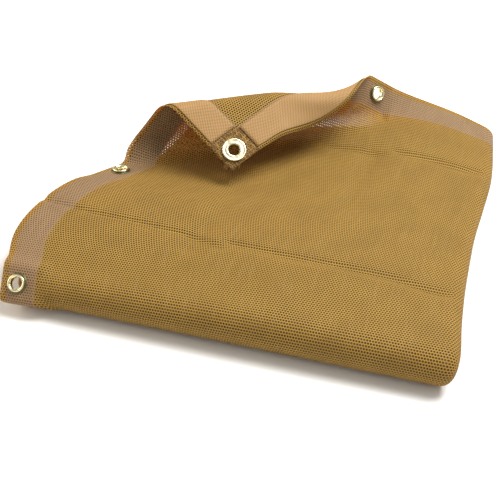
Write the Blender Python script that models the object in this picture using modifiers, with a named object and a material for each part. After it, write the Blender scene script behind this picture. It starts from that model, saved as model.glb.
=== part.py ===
"""Folded mesh shade tarp: one hemmed sheet of coated mesh folded into a pad, one corner turned back.

The sheet is folded side to side into a bundle of three layers, and that bundle is folded front to back,
so six layers lie over each other with a smooth turn at the front and at the right. The top layer's rear
left corner is lifted, rolled over and laid forward. Two tapes lie in the hem, and brass eyelets with
their washers go through tape and cloth.

Lengths are millimetres in the tables and functions, and metres in Blender. +X runs along the front
edge to the right, +Y to the rear, +Z up, and the pad rests on Z = 0.
"""
import math
from collections import namedtuple

import bmesh
import bpy
import numpy as np
from mathutils import Matrix, Vector

MM = 0.001

# Driving dimensions, in millimetres
CLOTH_THICKNESS = 1.2
TAPE_THICKNESS = 0.9
TAPE_GAP = 0.5
HEM_WIDTH = 38.0
HEM_LINES = (0.0, 2.0, 17.5, 33.0, 38.0)
TAPE_LINES = (2.0, 17.5, 33.0)
TAPE_STOP = 40.0
EYELET_INSET = 17.5
EYELET_PITCH = 208.0
EYELET_PATCH = 15.5
EYELET_FADE = 20.0
BUNDLE_HALF = 10.0
BUNDLE_GAP = 4.0
FRONT_AXIS = -102.0
ROLL_DIRECTION = math.radians(25.0)

# How finely the roll is summed, and the short steps that slopes and normals are measured over
ROLL_STEPS = 120
SLOPE_PROBE = 2.0
NORMAL_STEP = 0.5

# The eyelet: a flanged barrel on the underside, its rim curled over a washer on the upper side
HOLE_RADIUS = 6.5
BARREL_RADIUS = 7.1
CLOTH_HOLE_RADIUS = 7.7
FLANGE_RADIUS = 13.6
FLANGE_THICKNESS = 0.9
WASHER_INNER = 7.7
WASHER_OUTER = 11.0
WASHER_THICKNESS = 0.8
RIM_RADIUS = 1.1
METAL_GAP = 0.4
ROUND_STEPS = 28
CUTTER_SIDES = 24
CUTTER_DEPTH = 8.0
SHARP_ANGLE = math.radians(40.0)

# Side-to-side fold: x is the share of the pad's width, level is the height in the bundle (-1 to 1)
SideRun = namedtuple("SideRun", "name length steps from_x to_x from_level to_level bulge")
SIDE_FOLD = (
    SideRun("top layer", 465.0, 0, 0.00, 1.00, 1.0, 1.0, 0.0),
    SideRun("right turn", 34.0, 5, 1.00, 1.00, 1.0, -1.0, 12.0),
    SideRun("under layer", 440.0, 5, 1.00, 0.04, -1.0, -1.0, 0.0),
    SideRun("left turn", 16.0, 3, 0.04, 0.04, -1.0, 0.0, -6.0),
    SideRun("middle layer", 415.0, 4, 0.04, 0.94, 0.0, 0.0, 0.0),
)
# Front-to-back fold: y is the share of the pad's depth from the rear, turn is the half-turns made
DepthRun = namedtuple("DepthRun", "name length steps from_y to_y from_turn to_turn")
DEPTH_FOLD = (
    DepthRun("upper bundle", 415.0, 0, 0.0, 1.0, 0.0, 0.0),
    DepthRun("front turn", 69.0, 5, 1.0, 1.0, 0.0, 1.0),
    DepthRun("lower bundle", 355.0, 4, 1.0, 0.12, 1.0, 1.0),
)
TOP_WIDTH = SIDE_FOLD[0].length
TOP_DEPTH = DEPTH_FOLD[0].length

# Plan of the top layer laid flat: v is the distance from the rear edge, u from the left edge
SideEdge = namedtuple("SideEdge", "name v left right")
SIDE_EDGES = (
    SideEdge("rear corner", 0.0, -154.0, 214.0),
    SideEdge("ridge", 110.0, -170.0, 222.0),
    SideEdge("back of the curl", 170.0, -183.0, 219.0),
    SideEdge("curl foot", 220.0, -197.0, 216.0),
    SideEdge("slope", 270.0, -226.0, 216.0),
    SideEdge("crest", 320.0, -241.0, 217.0),
    SideEdge("front bulge", 370.0, -246.0, 220.0),
    SideEdge("front roll", 415.0, -234.0, 224.0),
    SideEdge("front turn", 450.0, -229.0, 222.0),
    SideEdge("lower front", 484.0, -212.0, 214.0),
    SideEdge("lower rear", 840.0, -150.0, 200.0),
)
RearEdge = namedtuple("RearEdge", "name u y")
REAR_EDGE = (
    RearEdge("corner", 0.0, 320.0),
    RearEdge("flap edge", 60.0, 317.0),
    RearEdge("ridge crossing", 190.0, 299.0),
    RearEdge("rear eyelet", 262.0, 297.0),
    RearEdge("right turn", 465.0, 295.0),
    RearEdge("under layer", 620.0, 262.0),
    RearEdge("middle layer", 1400.0, 258.0),
)
# Thickness of the pad, on four lines that run front to rear
COLUMN_X = (-247.0, -40.0, 140.0, 235.0)
PadSection = namedtuple("PadSection", "name y left middle shoulder right")
PAD_SECTIONS = (
    PadSection("front roll", -102.0, 36.0, 44.0, 44.0, 42.0),
    PadSection("crest", -12.0, 46.0, 48.0, 46.0, 42.0),
    PadSection("shoulder", 50.0, 42.0, 45.0, 46.0, 40.0),
    PadSection("curl foot", 110.0, 27.0, 39.0, 46.0, 40.0),
    PadSection("rear crease", 190.0, 18.0, 33.0, 49.0, 41.0),
    PadSection("rear rise", 240.0, 16.0, 33.0, 54.0, 40.0),
    PadSection("rear edge", 300.0, 16.0, 34.0, 58.0, 32.0),
)

# The rolled corner, for stations along the roll
RollStation = namedtuple("RollStation", "name along start turn valley wall crest fall")
ROLL_STATIONS = (
    RollStation("left end", -140.0, 163.0, 1.00, 26.0, 30.0, 16.0, 34.0),
    RollStation("left edge of the flap", -60.0, 164.0, 1.00, 26.0, 30.0, 16.0, 34.0),
    RollStation("middle", 50.0, 171.0, 1.00, 25.0, 31.0, 16.0, 33.0),
    RollStation("right edge of the flap", 156.0, 172.0, 1.00, 24.0, 23.0, 14.0, 36.0),
    RollStation("rear eyelet", 200.0, 178.0, 0.58, 28.0, 14.0, 16.0, 34.0),
    RollStation("right shoulder", 260.0, 187.0, 0.20, 30.0, 18.0, 20.0, 30.0),
    RollStation("right end", 330.0, 200.0, 0.00, 30.0, 18.0, 20.0, 30.0),
)


def smooth(places, values, at):
    """A smooth curve through the values at the places; each value may itself be an array like `at`."""
    places = np.array(places)
    values = np.array([np.broadcast_to(value, np.shape(at)) for value in values])
    slopes = np.gradient(values, places, axis=0)
    at = np.clip(at, places[0], places[-1])
    i = np.clip(np.searchsorted(places, at, side="right") - 1, 0, len(places) - 2)
    span = places[i + 1] - places[i]
    s = (at - places[i]) / span
    low, high = np.take_along_axis(values, i[None], 0)[0], np.take_along_axis(values, i[None] + 1, 0)[0]
    rise, run_out = np.take_along_axis(slopes, i[None], 0)[0], np.take_along_axis(slopes, i[None] + 1, 0)[0]
    start = low * (1 + 2 * s) + rise * span * s
    end = high * (3 - 2 * s) + run_out * span * (s - 1)
    return start * (1 - s) ** 2 + end * s ** 2


def along(rows, key, name, at):
    """Column `name` as a smooth curve through the rows, where the column `key` is `at`."""
    return smooth([getattr(row, key) for row in rows], [getattr(row, name) for row in rows], at)


def ease(share):
    """Smooth step from 0 to 1."""
    share = np.clip(share, 0.0, 1.0)
    return share * share * (3 - 2 * share)


def locate(rows, at):
    """The index of the run that holds each arc position, and the share of it that is passed."""
    ends = np.cumsum([row.length for row in rows])
    i = np.clip(np.searchsorted(ends, at, side="right"), 0, len(rows) - 1)
    lengths = np.array([row.length for row in rows])[i]
    return i, (at - (ends[i] - lengths)) / lengths


def pad_height(x, y):
    """Thickness of the pad at a place in plan."""
    columns = [along(PAD_SECTIONS, "y", name, y) for name in ("left", "middle", "shoulder", "right")]
    return smooth(COLUMN_X, columns, x)


def roll_profile(s, dip, turn, valley, wall, crest, fall):
    """Offset and rise after the arc length s: valley arc, wall, crest arc, then the falling flap.

    The direction starts at `dip` and its whole change is scaled by `turn`.
    """
    shares = (np.arange(ROLL_STEPS) + 0.5) / ROLL_STEPS
    arc = s[..., None] * shares
    upright = math.pi / 2
    valley_arc = valley[..., None] * (upright - dip[..., None])
    crest_start = valley_arc + wall[..., None]
    final = math.pi + np.radians(fall[..., None])
    angle = dip[..., None] + np.clip(arc / valley[..., None], 0, upright - dip[..., None])
    angle = angle + np.clip((arc - crest_start) / crest[..., None], 0, final - upright)
    angle = dip[..., None] + (angle - dip[..., None]) * turn[..., None]
    return s * np.cos(angle).mean(-1), s * np.sin(angle).mean(-1)


def rolled(x, y):
    """The top layer's place in space for a place in its flat plan."""
    c, n = math.cos(ROLL_DIRECTION), math.sin(ROLL_DIRECTION)
    station = x * c + y * n
    reach = y * c - x * n
    start = along(ROLL_STATIONS, "along", "start", station)
    s = np.maximum(reach - start, 0.0)
    foot_x = np.where(s > 0, station * c - start * n, x)
    foot_y = np.where(s > 0, station * n + start * c, y)
    base = pad_height(foot_x, foot_y)
    slope = (base - pad_height(foot_x + SLOPE_PROBE * n, foot_y - SLOPE_PROBE * c)) / SLOPE_PROBE
    values = [along(ROLL_STATIONS, "along", name, station)
              for name in ("turn", "valley", "wall", "crest", "fall")]
    offset, rise = roll_profile(s, np.arctan(slope), *values)
    return foot_x - offset * n, foot_y + offset * c, base + rise


def bare_surface(u, v):
    """The sheet's middle surface before the eyelets flatten it."""
    side, across = locate(SIDE_FOLD, u)
    depth, down = locate(DEPTH_FOLD, v)
    side_value = {name: np.array([getattr(row, name) for row in SIDE_FOLD])[side]
                  for name in ("from_x", "to_x", "from_level", "to_level", "bulge")}
    depth_value = {name: np.array([getattr(row, name) for row in DEPTH_FOLD])[depth]
                   for name in ("from_y", "to_y", "from_turn", "to_turn")}
    share_x = side_value["from_x"] + (side_value["to_x"] - side_value["from_x"]) * across
    swing = (1 - np.cos(math.pi * across)) / 2
    level = side_value["from_level"] + (side_value["to_level"] - side_value["from_level"]) * swing
    left = along(SIDE_EDGES, "v", "left", v)
    right = along(SIDE_EDGES, "v", "right", v)
    narrowing = 1 - (right - left) / TOP_WIDTH
    spread = share_x * (1 - share_x * share_x * (3 - 2 * share_x)) * narrowing * TOP_WIDTH
    x = left + (right - left) * share_x + spread + side_value["bulge"] * np.sin(math.pi * across)
    share_y = depth_value["from_y"] + (depth_value["to_y"] - depth_value["from_y"]) * down
    turn = math.pi * (depth_value["from_turn"] + (depth_value["to_turn"] - depth_value["from_turn"]) * down)
    rear = along(REAR_EDGE, "u", "y", u)
    radius = BUNDLE_HALF * (1 + level) + BUNDLE_GAP / 2
    y = rear + (FRONT_AXIS - rear) * share_y - radius * np.sin(turn)
    full = 4 * BUNDLE_HALF + BUNDLE_GAP
    z = (full / 2 + radius * np.cos(turn)) / full * pad_height(x, np.maximum(y, FRONT_AXIS))
    top = (u <= TOP_WIDTH) & (v <= TOP_DEPTH)
    top_x, top_y, top_z = rolled(x, y)
    return np.stack([np.where(top, top_x, x), np.where(top, top_y, y), np.where(top, top_z, z)], -1)


def slopes(shape, u, v):
    """Steps of the surface for a millimetre of u and of v."""
    along_u = shape(u + NORMAL_STEP, v) - shape(u - NORMAL_STEP, v)
    along_v = shape(u, v + NORMAL_STEP) - shape(u, v - NORMAL_STEP)
    return along_u, along_v


def unit(vectors):
    """Vectors at length 1."""
    return vectors / np.linalg.norm(vectors, axis=-1, keepdims=True)


def upper_normal(shape, u, v):
    """Unit normal of the sheet's upper face."""
    along_u, along_v = slopes(shape, u, v)
    return unit(np.cross(along_v, along_u))


# Places of the eyelets on the flat sheet
REAR_EYELET_U = 266.0
Eyelet = namedtuple("Eyelet", "name u v")
EYELETS = (
    Eyelet("corner", EYELET_INSET, EYELET_INSET),
    Eyelet("mid_left", EYELET_INSET, EYELET_INSET + EYELET_PITCH),
    Eyelet("front_left", EYELET_INSET, EYELET_INSET + 2 * EYELET_PITCH),
    Eyelet("rear", REAR_EYELET_U, EYELET_INSET),
)


def surface(u, v):
    """The sheet's middle surface, flat under each eyelet."""
    u, v = np.broadcast_arrays(np.asarray(u, float), np.asarray(v, float))
    points = bare_surface(u, v)
    for eyelet in EYELETS:
        centre_u, centre_v = np.array(eyelet.u), np.array(eyelet.v)
        centre = bare_surface(centre_u, centre_v)
        along_u, along_v = slopes(bare_surface, centre_u, centre_v)
        away = np.maximum(abs(u - eyelet.u), abs(v - eyelet.v))
        weight = 1 - ease((away - EYELET_PATCH - 1) / EYELET_FADE)
        flat = centre + (u - eyelet.u)[..., None] * along_u + (v - eyelet.v)[..., None] * along_v
        points = points + (flat - points) * weight[..., None]
    return points


def run_lines(rows, first_lines):
    """Grid lines along a fold: those of its first run, then even steps in each later run."""
    lines = list(first_lines)
    start = rows[0].length
    for row in rows[1:]:
        lines += [start + row.length * (i + 1) / row.steps for i in range(row.steps)]
        start += row.length
    return lines


def spaced(start, stop, count):
    """Even lines after start, up to and including stop."""
    return [start + (stop - start) * (i + 1) / count for i in range(count)]


def eyelet_lines(centre):
    """Three lines across an eyelet."""
    return [centre - EYELET_PATCH, centre, centre + EYELET_PATCH]


def u_lines():
    """Grid lines across the sheet."""
    patch = eyelet_lines(REAR_EYELET_U)
    first = list(HEM_LINES) + spaced(HEM_WIDTH, patch[0], 16) + patch[1:]
    return run_lines(SIDE_FOLD, first + spaced(patch[2], TOP_WIDTH, 6))


def v_lines():
    """Grid lines down the sheet."""
    patch = eyelet_lines(EYELET_INSET + EYELET_PITCH)
    first = list(HEM_LINES) + spaced(HEM_WIDTH, patch[0], 15) + patch[1:]
    lines = run_lines(DEPTH_FOLD, first + spaced(patch[2], TOP_DEPTH, 6))
    front = eyelet_lines(EYELET_INSET + 2 * EYELET_PITCH)
    kept = [line for line in lines if not front[0] - 6 < line < front[2] + 6]
    return sorted(kept + front)


def material(name, colour, roughness, metallic=0.0):
    """A plain Principled material."""
    made = bpy.data.materials.new(name)
    made.use_nodes = True
    shader = made.node_tree.nodes["Principled BSDF"]
    shader.inputs["Base Color"].default_value = (*colour, 1.0)
    shader.inputs["Roughness"].default_value = roughness
    shader.inputs["Metallic"].default_value = metallic
    return made


def add_object(name, mesh, collection, parent, finish=None):
    """Link a mesh as a named object under the tarp's frame."""
    made = bpy.data.objects.new(name, mesh)
    if finish:
        mesh.materials.append(finish)
    made.parent = parent
    collection.objects.link(made)
    return made


def sheet_mesh(name, us, vs, lift):
    """A grid laid over the lines us and vs, moved onto the surface and lifted along its normal."""
    grid = bmesh.new()
    bmesh.ops.create_grid(grid, x_segments=len(us) - 1, y_segments=len(vs) - 1, size=0.5)
    columns = [round((vert.co.x + 0.5) * (len(us) - 1)) for vert in grid.verts]
    rows = [round((vert.co.y + 0.5) * (len(vs) - 1)) for vert in grid.verts]
    u, v = np.array(us)[columns], np.array(vs)[rows]
    points = surface(u, v) + lift * upper_normal(surface, u, v)
    for vert, point in zip(grid.verts, points):
        vert.co = Vector(point) * MM
    bmesh.ops.recalc_face_normals(grid, faces=grid.faces)
    mesh = bpy.data.meshes.new(name)
    grid.to_mesh(mesh)
    grid.free()
    return mesh


def thicken(sheet, thickness):
    """Give an open sheet its thickness, half to each side."""
    shell = sheet.modifiers.new("thickness", "SOLIDIFY")
    shell.thickness = thickness * MM
    shell.offset = 0.0
    shell.use_even_offset = False


def eyelet_matrix(eyelet):
    """The eyelet's frame: +Z is the upper face's normal, origin in the cloth's middle."""
    u, v = np.array(eyelet.u), np.array(eyelet.v)
    normal = upper_normal(surface, u, v)
    along_u = unit(slopes(surface, u, v)[0])
    centre = surface(u, v) * MM
    turned = Matrix((along_u, np.cross(normal, along_u), normal)).transposed().to_4x4()
    return Matrix.Translation(Vector(centre)) @ turned


def arc(centre_r, centre_z, radius, start, stop, steps):
    """Points of an arc in the half plane of a turned profile, angles in degrees."""
    angles = [math.radians(start + (stop - start) * i / steps) for i in range(steps + 1)]
    return [(centre_r + radius * math.cos(a), centre_z + radius * math.sin(a)) for a in angles]


def turned(name, profile, collection, parent, finish, matrix):
    """A closed profile of (radius, height) points, turned about Z."""
    mesh = bpy.data.meshes.new(name)
    points = [(r * MM, 0.0, z * MM) for r, z in profile]
    edges = [(i, (i + 1) % len(points)) for i in range(len(points))]
    mesh.from_pydata(points, edges, [])
    made = add_object(name, mesh, collection, parent, finish)
    made.matrix_world = matrix
    screw = made.modifiers.new("turn", "SCREW")
    screw.angle = 2 * math.pi
    screw.steps = ROUND_STEPS
    screw.render_steps = ROUND_STEPS
    screw.use_merge_vertices = True
    screw.merge_threshold = 0.00001
    screw.use_normal_calculate = True
    return made


def barrel_profile():
    """Section of the flanged barrel, from the curled rim down the outside to the flange."""
    washer_top = CLOTH_THICKNESS / 2 + METAL_GAP + WASHER_THICKNESS
    rim_z = washer_top + METAL_GAP + RIM_RADIUS
    rim_r = BARREL_RADIUS + RIM_RADIUS
    flange_top = -(CLOTH_THICKNESS / 2 + TAPE_GAP + TAPE_THICKNESS + METAL_GAP)
    flange_low = flange_top - FLANGE_THICKNESS
    half = FLANGE_THICKNESS / 2
    return (arc(rim_r, rim_z, RIM_RADIUS, 150, -90, 5)
            + [(BARREL_RADIUS, rim_z - RIM_RADIUS), (BARREL_RADIUS, flange_top)]
            + arc(FLANGE_RADIUS - half, flange_top - half, half, 90, -90, 3)
            + arc(HOLE_RADIUS + 1.0, flange_low + 1.0, 1.0, 270, 180, 2)
            + [(HOLE_RADIUS, rim_z - 0.2)])


def washer_profile():
    """Section of the washer: flat below, its outer edge rounded down."""
    low = CLOTH_THICKNESS / 2 + METAL_GAP
    top = low + WASHER_THICKNESS
    edge = WASHER_THICKNESS * 0.75
    return ([(WASHER_INNER, top)] + arc(WASHER_OUTER - edge, top - edge, edge, 90, 0, 2)
            + [(WASHER_OUTER, low), (WASHER_INNER, low)])


def cut_eyelet_holes(sheet, cutters):
    """Take the eyelets' holes out of a sheet."""
    for cutter in cutters:
        cut = sheet.modifiers.new("hole", "BOOLEAN")
        cut.operation = "DIFFERENCE"
        cut.object = cutter
        cut.solver = "EXACT"


def add_cutter(eyelet, collection, parent):
    """A cylinder through the cloth at an eyelet."""
    shape = bmesh.new()
    bmesh.ops.create_cone(shape, cap_ends=True, segments=CUTTER_SIDES, radius1=CLOTH_HOLE_RADIUS * MM,
                          radius2=CLOTH_HOLE_RADIUS * MM, depth=CUTTER_DEPTH * MM)
    mesh = bpy.data.meshes.new("hole_" + eyelet.name)
    shape.to_mesh(mesh)
    shape.free()
    cutter = add_object("hole_" + eyelet.name, mesh, collection, parent)
    cutter.matrix_world = eyelet_matrix(eyelet)
    cutter.hide_render = True
    cutter.display_type = "WIRE"
    return cutter


def round_shading(made):
    """Smooth shading with the sharp edges kept."""
    made.data.shade_smooth()
    made.data.set_sharp_from_angle(angle=SHARP_ANGLE)


def centre_on_origin(frame, solids):
    """Move the frame so that the bottom centre of the whole tarp is at the origin."""
    bpy.context.view_layer.update()
    graph = bpy.context.evaluated_depsgraph_get()
    low, high = np.full(3, np.inf), np.full(3, -np.inf)
    for solid in solids:
        shown = solid.evaluated_get(graph)
        mesh = shown.to_mesh()
        points = np.array([shown.matrix_world @ vert.co for vert in mesh.vertices])
        low, high = np.minimum(low, points.min(0)), np.maximum(high, points.max(0))
        shown.to_mesh_clear()
    middle = (low + high) / 2
    frame.location = (-middle[0], -middle[1], -low[2])
    bpy.context.view_layer.update()


def build():
    """Build the whole folded tarp."""
    for old in list(bpy.data.objects):
        bpy.data.objects.remove(old, do_unlink=True)
    parts = bpy.data.collections.new("mesh_shade_tarp")
    cutter_set = bpy.data.collections.new("cutters")
    for made in (parts, cutter_set):
        bpy.context.scene.collection.children.link(made)
    frame = bpy.data.objects.new("tarp_frame", None)
    parts.objects.link(frame)

    cloth_finish = material("coated_tan_mesh", (0.40, 0.25, 0.07), 0.65)
    tape_finish = material("pale_hem_tape", (0.58, 0.40, 0.24), 0.7)
    brass = material("plated_brass", (0.83, 0.72, 0.42), 0.25, 1.0)

    us, vs = u_lines(), v_lines()
    cutters = [add_cutter(eyelet, cutter_set, frame) for eyelet in EYELETS]
    by_name = {eyelet.name: cutter for eyelet, cutter in zip(EYELETS, cutters)}

    cloth = add_object("tarp_cloth", sheet_mesh("tarp_cloth", us, vs, 0.0), parts, frame, cloth_finish)
    thicken(cloth, CLOTH_THICKNESS)
    cut_eyelet_holes(cloth, cutters)

    lift = -(CLOTH_THICKNESS / 2 + TAPE_GAP + TAPE_THICKNESS / 2)
    tape_vs = [line for line in vs if line > TAPE_STOP]
    left_tape = add_object("hem_tape_left", sheet_mesh("hem_tape_left", TAPE_LINES, tape_vs, lift),
                           parts, frame, tape_finish)
    tape_us = [line for line in us if TAPE_STOP < line < TOP_WIDTH + SIDE_FOLD[1].length + 1]
    rear_tape = add_object("hem_tape_rear", sheet_mesh("hem_tape_rear", tape_us, TAPE_LINES, lift),
                           parts, frame, tape_finish)
    for tape in (left_tape, rear_tape):
        thicken(tape, TAPE_THICKNESS)
    cut_eyelet_holes(left_tape, [by_name["mid_left"], by_name["front_left"]])
    cut_eyelet_holes(rear_tape, [by_name["rear"]])

    solids = [cloth, left_tape, rear_tape]
    for eyelet in EYELETS:
        matrix = eyelet_matrix(eyelet)
        solids.append(turned("grommet_" + eyelet.name, barrel_profile(), parts, frame, brass, matrix))
        solids.append(turned("washer_" + eyelet.name, washer_profile(), parts, frame, brass, matrix))
    for solid in solids:
        round_shading(solid)
    centre_on_origin(frame, solids)


build()
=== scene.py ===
"""Looks of a folded mesh shade tarp: coated tan mesh, pale hem tape and brass eyelets.

The sheet follows the same fold as the solid model. It is folded side to side into three layers, then front
to back into six, and the top layer's rear left corner is rolled up and laid forward over the top.
Fold sizes are millimetres on the flat sheet; everything handed to Blender is metres.
"""

import logging
import math
from collections import namedtuple
from dataclasses import dataclass, field
from enum import Enum
from functools import partial
from typing import Any, Callable, Sequence

import bpy
import numpy as np
from bpy.types import Material, Mesh, NodeSocket, NodeTree, Object
from mathutils import Matrix, Vector


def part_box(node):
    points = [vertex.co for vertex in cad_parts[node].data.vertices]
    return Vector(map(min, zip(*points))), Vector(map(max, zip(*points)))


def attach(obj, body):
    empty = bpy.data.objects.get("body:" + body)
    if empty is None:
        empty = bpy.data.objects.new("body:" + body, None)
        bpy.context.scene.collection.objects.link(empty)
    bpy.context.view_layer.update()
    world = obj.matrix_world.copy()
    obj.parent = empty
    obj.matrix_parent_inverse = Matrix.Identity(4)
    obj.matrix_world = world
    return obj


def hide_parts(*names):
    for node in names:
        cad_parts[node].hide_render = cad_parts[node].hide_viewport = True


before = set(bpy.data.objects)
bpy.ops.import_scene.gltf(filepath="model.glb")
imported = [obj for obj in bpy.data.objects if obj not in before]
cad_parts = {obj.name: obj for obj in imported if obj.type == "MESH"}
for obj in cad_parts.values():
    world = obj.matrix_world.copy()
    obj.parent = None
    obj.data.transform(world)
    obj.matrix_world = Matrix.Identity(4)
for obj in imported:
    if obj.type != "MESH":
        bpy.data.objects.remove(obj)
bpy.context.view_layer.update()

LOG = logging.getLogger("mesh_shade_tarp")
MM = 0.001

CLOTH_THICKNESS = 1.2
TAPE_THICKNESS = 0.9
TAPE_GAP = 0.5
METAL_GAP = 0.4
HEM_WIDTH = 38.0
TAPE_STOP = 40.0
TAPE_INSET = 4.0
EYELET_INSET = 17.5
EYELET_PITCH = 208.0
EYELET_PATCH = 15.5
EYELET_FADE = 20.0
BUNDLE_HALF = 10.0
BUNDLE_GAP = 4.0
FRONT_AXIS = -102.0
ROLL_DIRECTION = math.radians(25.0)
REAR_EYELET_U = 266.0

SideRun = namedtuple("SideRun", "name length steps from_x to_x from_level to_level bulge")
SIDE_FOLD = (
    SideRun("top layer", 465.0, 0, 0.00, 1.00, 1.0, 1.0, 0.0),
    SideRun("right turn", 34.0, 14, 1.00, 1.00, 1.0, -1.0, 12.0),
    SideRun("under layer", 440.0, 26, 1.00, 0.04, -1.0, -1.0, 0.0),
    SideRun("left turn", 16.0, 6, 0.04, 0.04, -1.0, 0.0, -6.0),
    SideRun("middle layer", 415.0, 24, 0.04, 0.94, 0.0, 0.0, 0.0),
)
DepthRun = namedtuple("DepthRun", "name length steps from_y to_y from_turn to_turn")
DEPTH_FOLD = (
    DepthRun("upper bundle", 415.0, 0, 0.0, 1.0, 0.0, 0.0),
    DepthRun("front turn", 69.0, 20, 1.0, 1.0, 0.0, 1.0),
    DepthRun("lower bundle", 355.0, 20, 1.0, 0.12, 1.0, 1.0),
)
TOP_WIDTH = SIDE_FOLD[0].length
TOP_DEPTH = DEPTH_FOLD[0].length
SHEET_DEPTH = sum(run.length for run in DEPTH_FOLD)

SideEdge = namedtuple("SideEdge", "name v left right")
SIDE_EDGES = (
    SideEdge("rear corner", 0.0, -154.0, 214.0),
    SideEdge("ridge", 110.0, -170.0, 222.0),
    SideEdge("back of the curl", 170.0, -183.0, 219.0),
    SideEdge("curl foot", 220.0, -197.0, 216.0),
    SideEdge("slope", 270.0, -226.0, 216.0),
    SideEdge("crest", 320.0, -241.0, 217.0),
    SideEdge("front bulge", 370.0, -246.0, 220.0),
    SideEdge("front roll", 415.0, -234.0, 224.0),
    SideEdge("front turn", 450.0, -229.0, 222.0),
    SideEdge("lower front", 484.0, -212.0, 214.0),
    SideEdge("lower rear", 840.0, -150.0, 200.0),
)
RearEdge = namedtuple("RearEdge", "name u y")
REAR_EDGE = (
    RearEdge("corner", 0.0, 320.0),
    RearEdge("flap edge", 60.0, 317.0),
    RearEdge("ridge crossing", 190.0, 299.0),
    RearEdge("rear eyelet", 262.0, 297.0),
    RearEdge("right turn", 465.0, 295.0),
    RearEdge("under layer", 620.0, 262.0),
    RearEdge("middle layer", 1400.0, 258.0),
)
COLUMN_X = (-247.0, -40.0, 140.0, 235.0)
PadSection = namedtuple("PadSection", "name y left middle shoulder right")
PAD_SECTIONS = (
    PadSection("front roll", -102.0, 36.0, 44.0, 44.0, 42.0),
    PadSection("crest", -12.0, 46.0, 48.0, 46.0, 42.0),
    PadSection("shoulder", 50.0, 42.0, 45.0, 46.0, 40.0),
    PadSection("curl foot", 110.0, 27.0, 39.0, 46.0, 40.0),
    PadSection("rear crease", 190.0, 18.0, 33.0, 49.0, 41.0),
    PadSection("rear rise", 240.0, 16.0, 33.0, 54.0, 40.0),
    PadSection("rear edge", 300.0, 16.0, 34.0, 58.0, 32.0),
)
RollStation = namedtuple("RollStation", "name along start turn valley wall crest fall")
ROLL_STATIONS = (
    RollStation("left end", -140.0, 163.0, 1.00, 26.0, 30.0, 16.0, 34.0),
    RollStation("left edge of the flap", -60.0, 164.0, 1.00, 26.0, 30.0, 16.0, 34.0),
    RollStation("middle", 50.0, 171.0, 1.00, 25.0, 31.0, 16.0, 33.0),
    RollStation("right edge of the flap", 156.0, 172.0, 1.00, 24.0, 23.0, 14.0, 36.0),
    RollStation("rear eyelet", 200.0, 178.0, 0.58, 28.0, 14.0, 16.0, 34.0),
    RollStation("right shoulder", 260.0, 187.0, 0.20, 30.0, 18.0, 20.0, 30.0),
    RollStation("right end", 330.0, 200.0, 0.00, 30.0, 18.0, 20.0, 30.0),
)
# Creases pressed into the top layer: from one place in plan to another, how wide and how deep, mm
Crease = namedtuple("Crease", "name x0 y0 x1 y1 width depth")
CREASES = (
    Crease("front crease, left half", -242.0, 6.0, -20.0, -22.0, 4.8, 3.4),
    Crease("front crease, right half", -22.0, -14.0, 214.0, -26.0, 4.8, 3.4),
    Crease("rear crease, left half", 40.0, 196.0, 112.0, 190.0, 4.8, 3.2),
    Crease("rear crease, right half", 120.0, 197.0, 222.0, 190.0, 4.8, 3.6),
    Crease("soft dip under the flap", -30.0, 130.0, -60.0, -40.0, 13.0, 2.8),
    Crease("soft dip on the right", 96.0, 205.0, 88.0, 70.0, 11.0, 3.0),
    Crease("puff at the front", 40.0, -60.0, 62.0, -98.0, 18.0, -1.4),
)
# A crease wanders aside in two waves (swing, length, phase) and dies away at its ends and the roll, mm
CREASE_WANDER = ((2.0, 31.0, 0.0), (0.9, 11.0, 1.0))
CREASE_END = 20.0
CREASE_FADE = 12.0
# Steps at which slopes of the pad and of the sheet are measured, mm
SLOPE_PROBE = 2.0
NORMAL_STEP = 0.5


class Eyelets(Enum):
    """Places of the eyelets on the flat sheet, (u, v) in millimetres."""

    corner = (EYELET_INSET, EYELET_INSET)
    mid_left = (EYELET_INSET, EYELET_INSET + EYELET_PITCH)
    front_left = (EYELET_INSET, EYELET_INSET + 2 * EYELET_PITCH)
    rear = (REAR_EYELET_U, EYELET_INSET)


def to_linear(colour: str) -> tuple[float, float, float, float]:
    """Turn an sRGB hex colour into linear RGBA.

    Args:
        colour: six hex digits, with or without a leading #.

    Returns:
        Linear red, green, blue and an alpha of 1.
    """
    text = colour.lstrip("#")
    values = [int(text[i:i + 2], 16) / 255 for i in (0, 2, 4)]
    linear = [c / 12.92 if c <= 0.04045 else ((c + 0.055) / 1.055) ** 2.4 for c in values]
    return (*linear, 1.0)


def smooth(places: Sequence[float], values: Sequence[Any], at: np.ndarray) -> np.ndarray:
    """Draw a smooth curve through values at places.

    Args:
        places: rising positions.
        values: a number, or an array like `at`, for each place.
        at: where the curve is read.

    Returns:
        The curve's values.
    """
    places = np.array(places)
    rows = np.array([np.broadcast_to(value, np.shape(at)) for value in values])
    slopes = np.gradient(rows, places, axis=0)
    at = np.clip(at, places[0], places[-1])
    i = np.clip(np.searchsorted(places, at, side="right") - 1, 0, len(places) - 2)
    span = places[i + 1] - places[i]
    s = (at - places[i]) / span

    def pick(table: np.ndarray, index: np.ndarray) -> np.ndarray:
        """Read one row for each place."""
        return np.take_along_axis(table, index[None], 0)[0]

    start = pick(rows, i) * (1 + 2 * s) + pick(slopes, i) * span * s
    end = pick(rows, i + 1) * (3 - 2 * s) + pick(slopes, i + 1) * span * (s - 1)
    return start * (1 - s) ** 2 + end * s ** 2


def along(rows: Sequence[Any], key: str, name: str, at: np.ndarray) -> np.ndarray:
    """Read a table's column `name` as a smooth curve over its column `key`, at the places `at`."""
    return smooth([getattr(row, key) for row in rows], [getattr(row, name) for row in rows], at)


def ease(share: np.ndarray) -> np.ndarray:
    """Smooth step from 0 to 1."""
    share = np.clip(share, 0.0, 1.0)
    return share * share * (3 - 2 * share)


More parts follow.
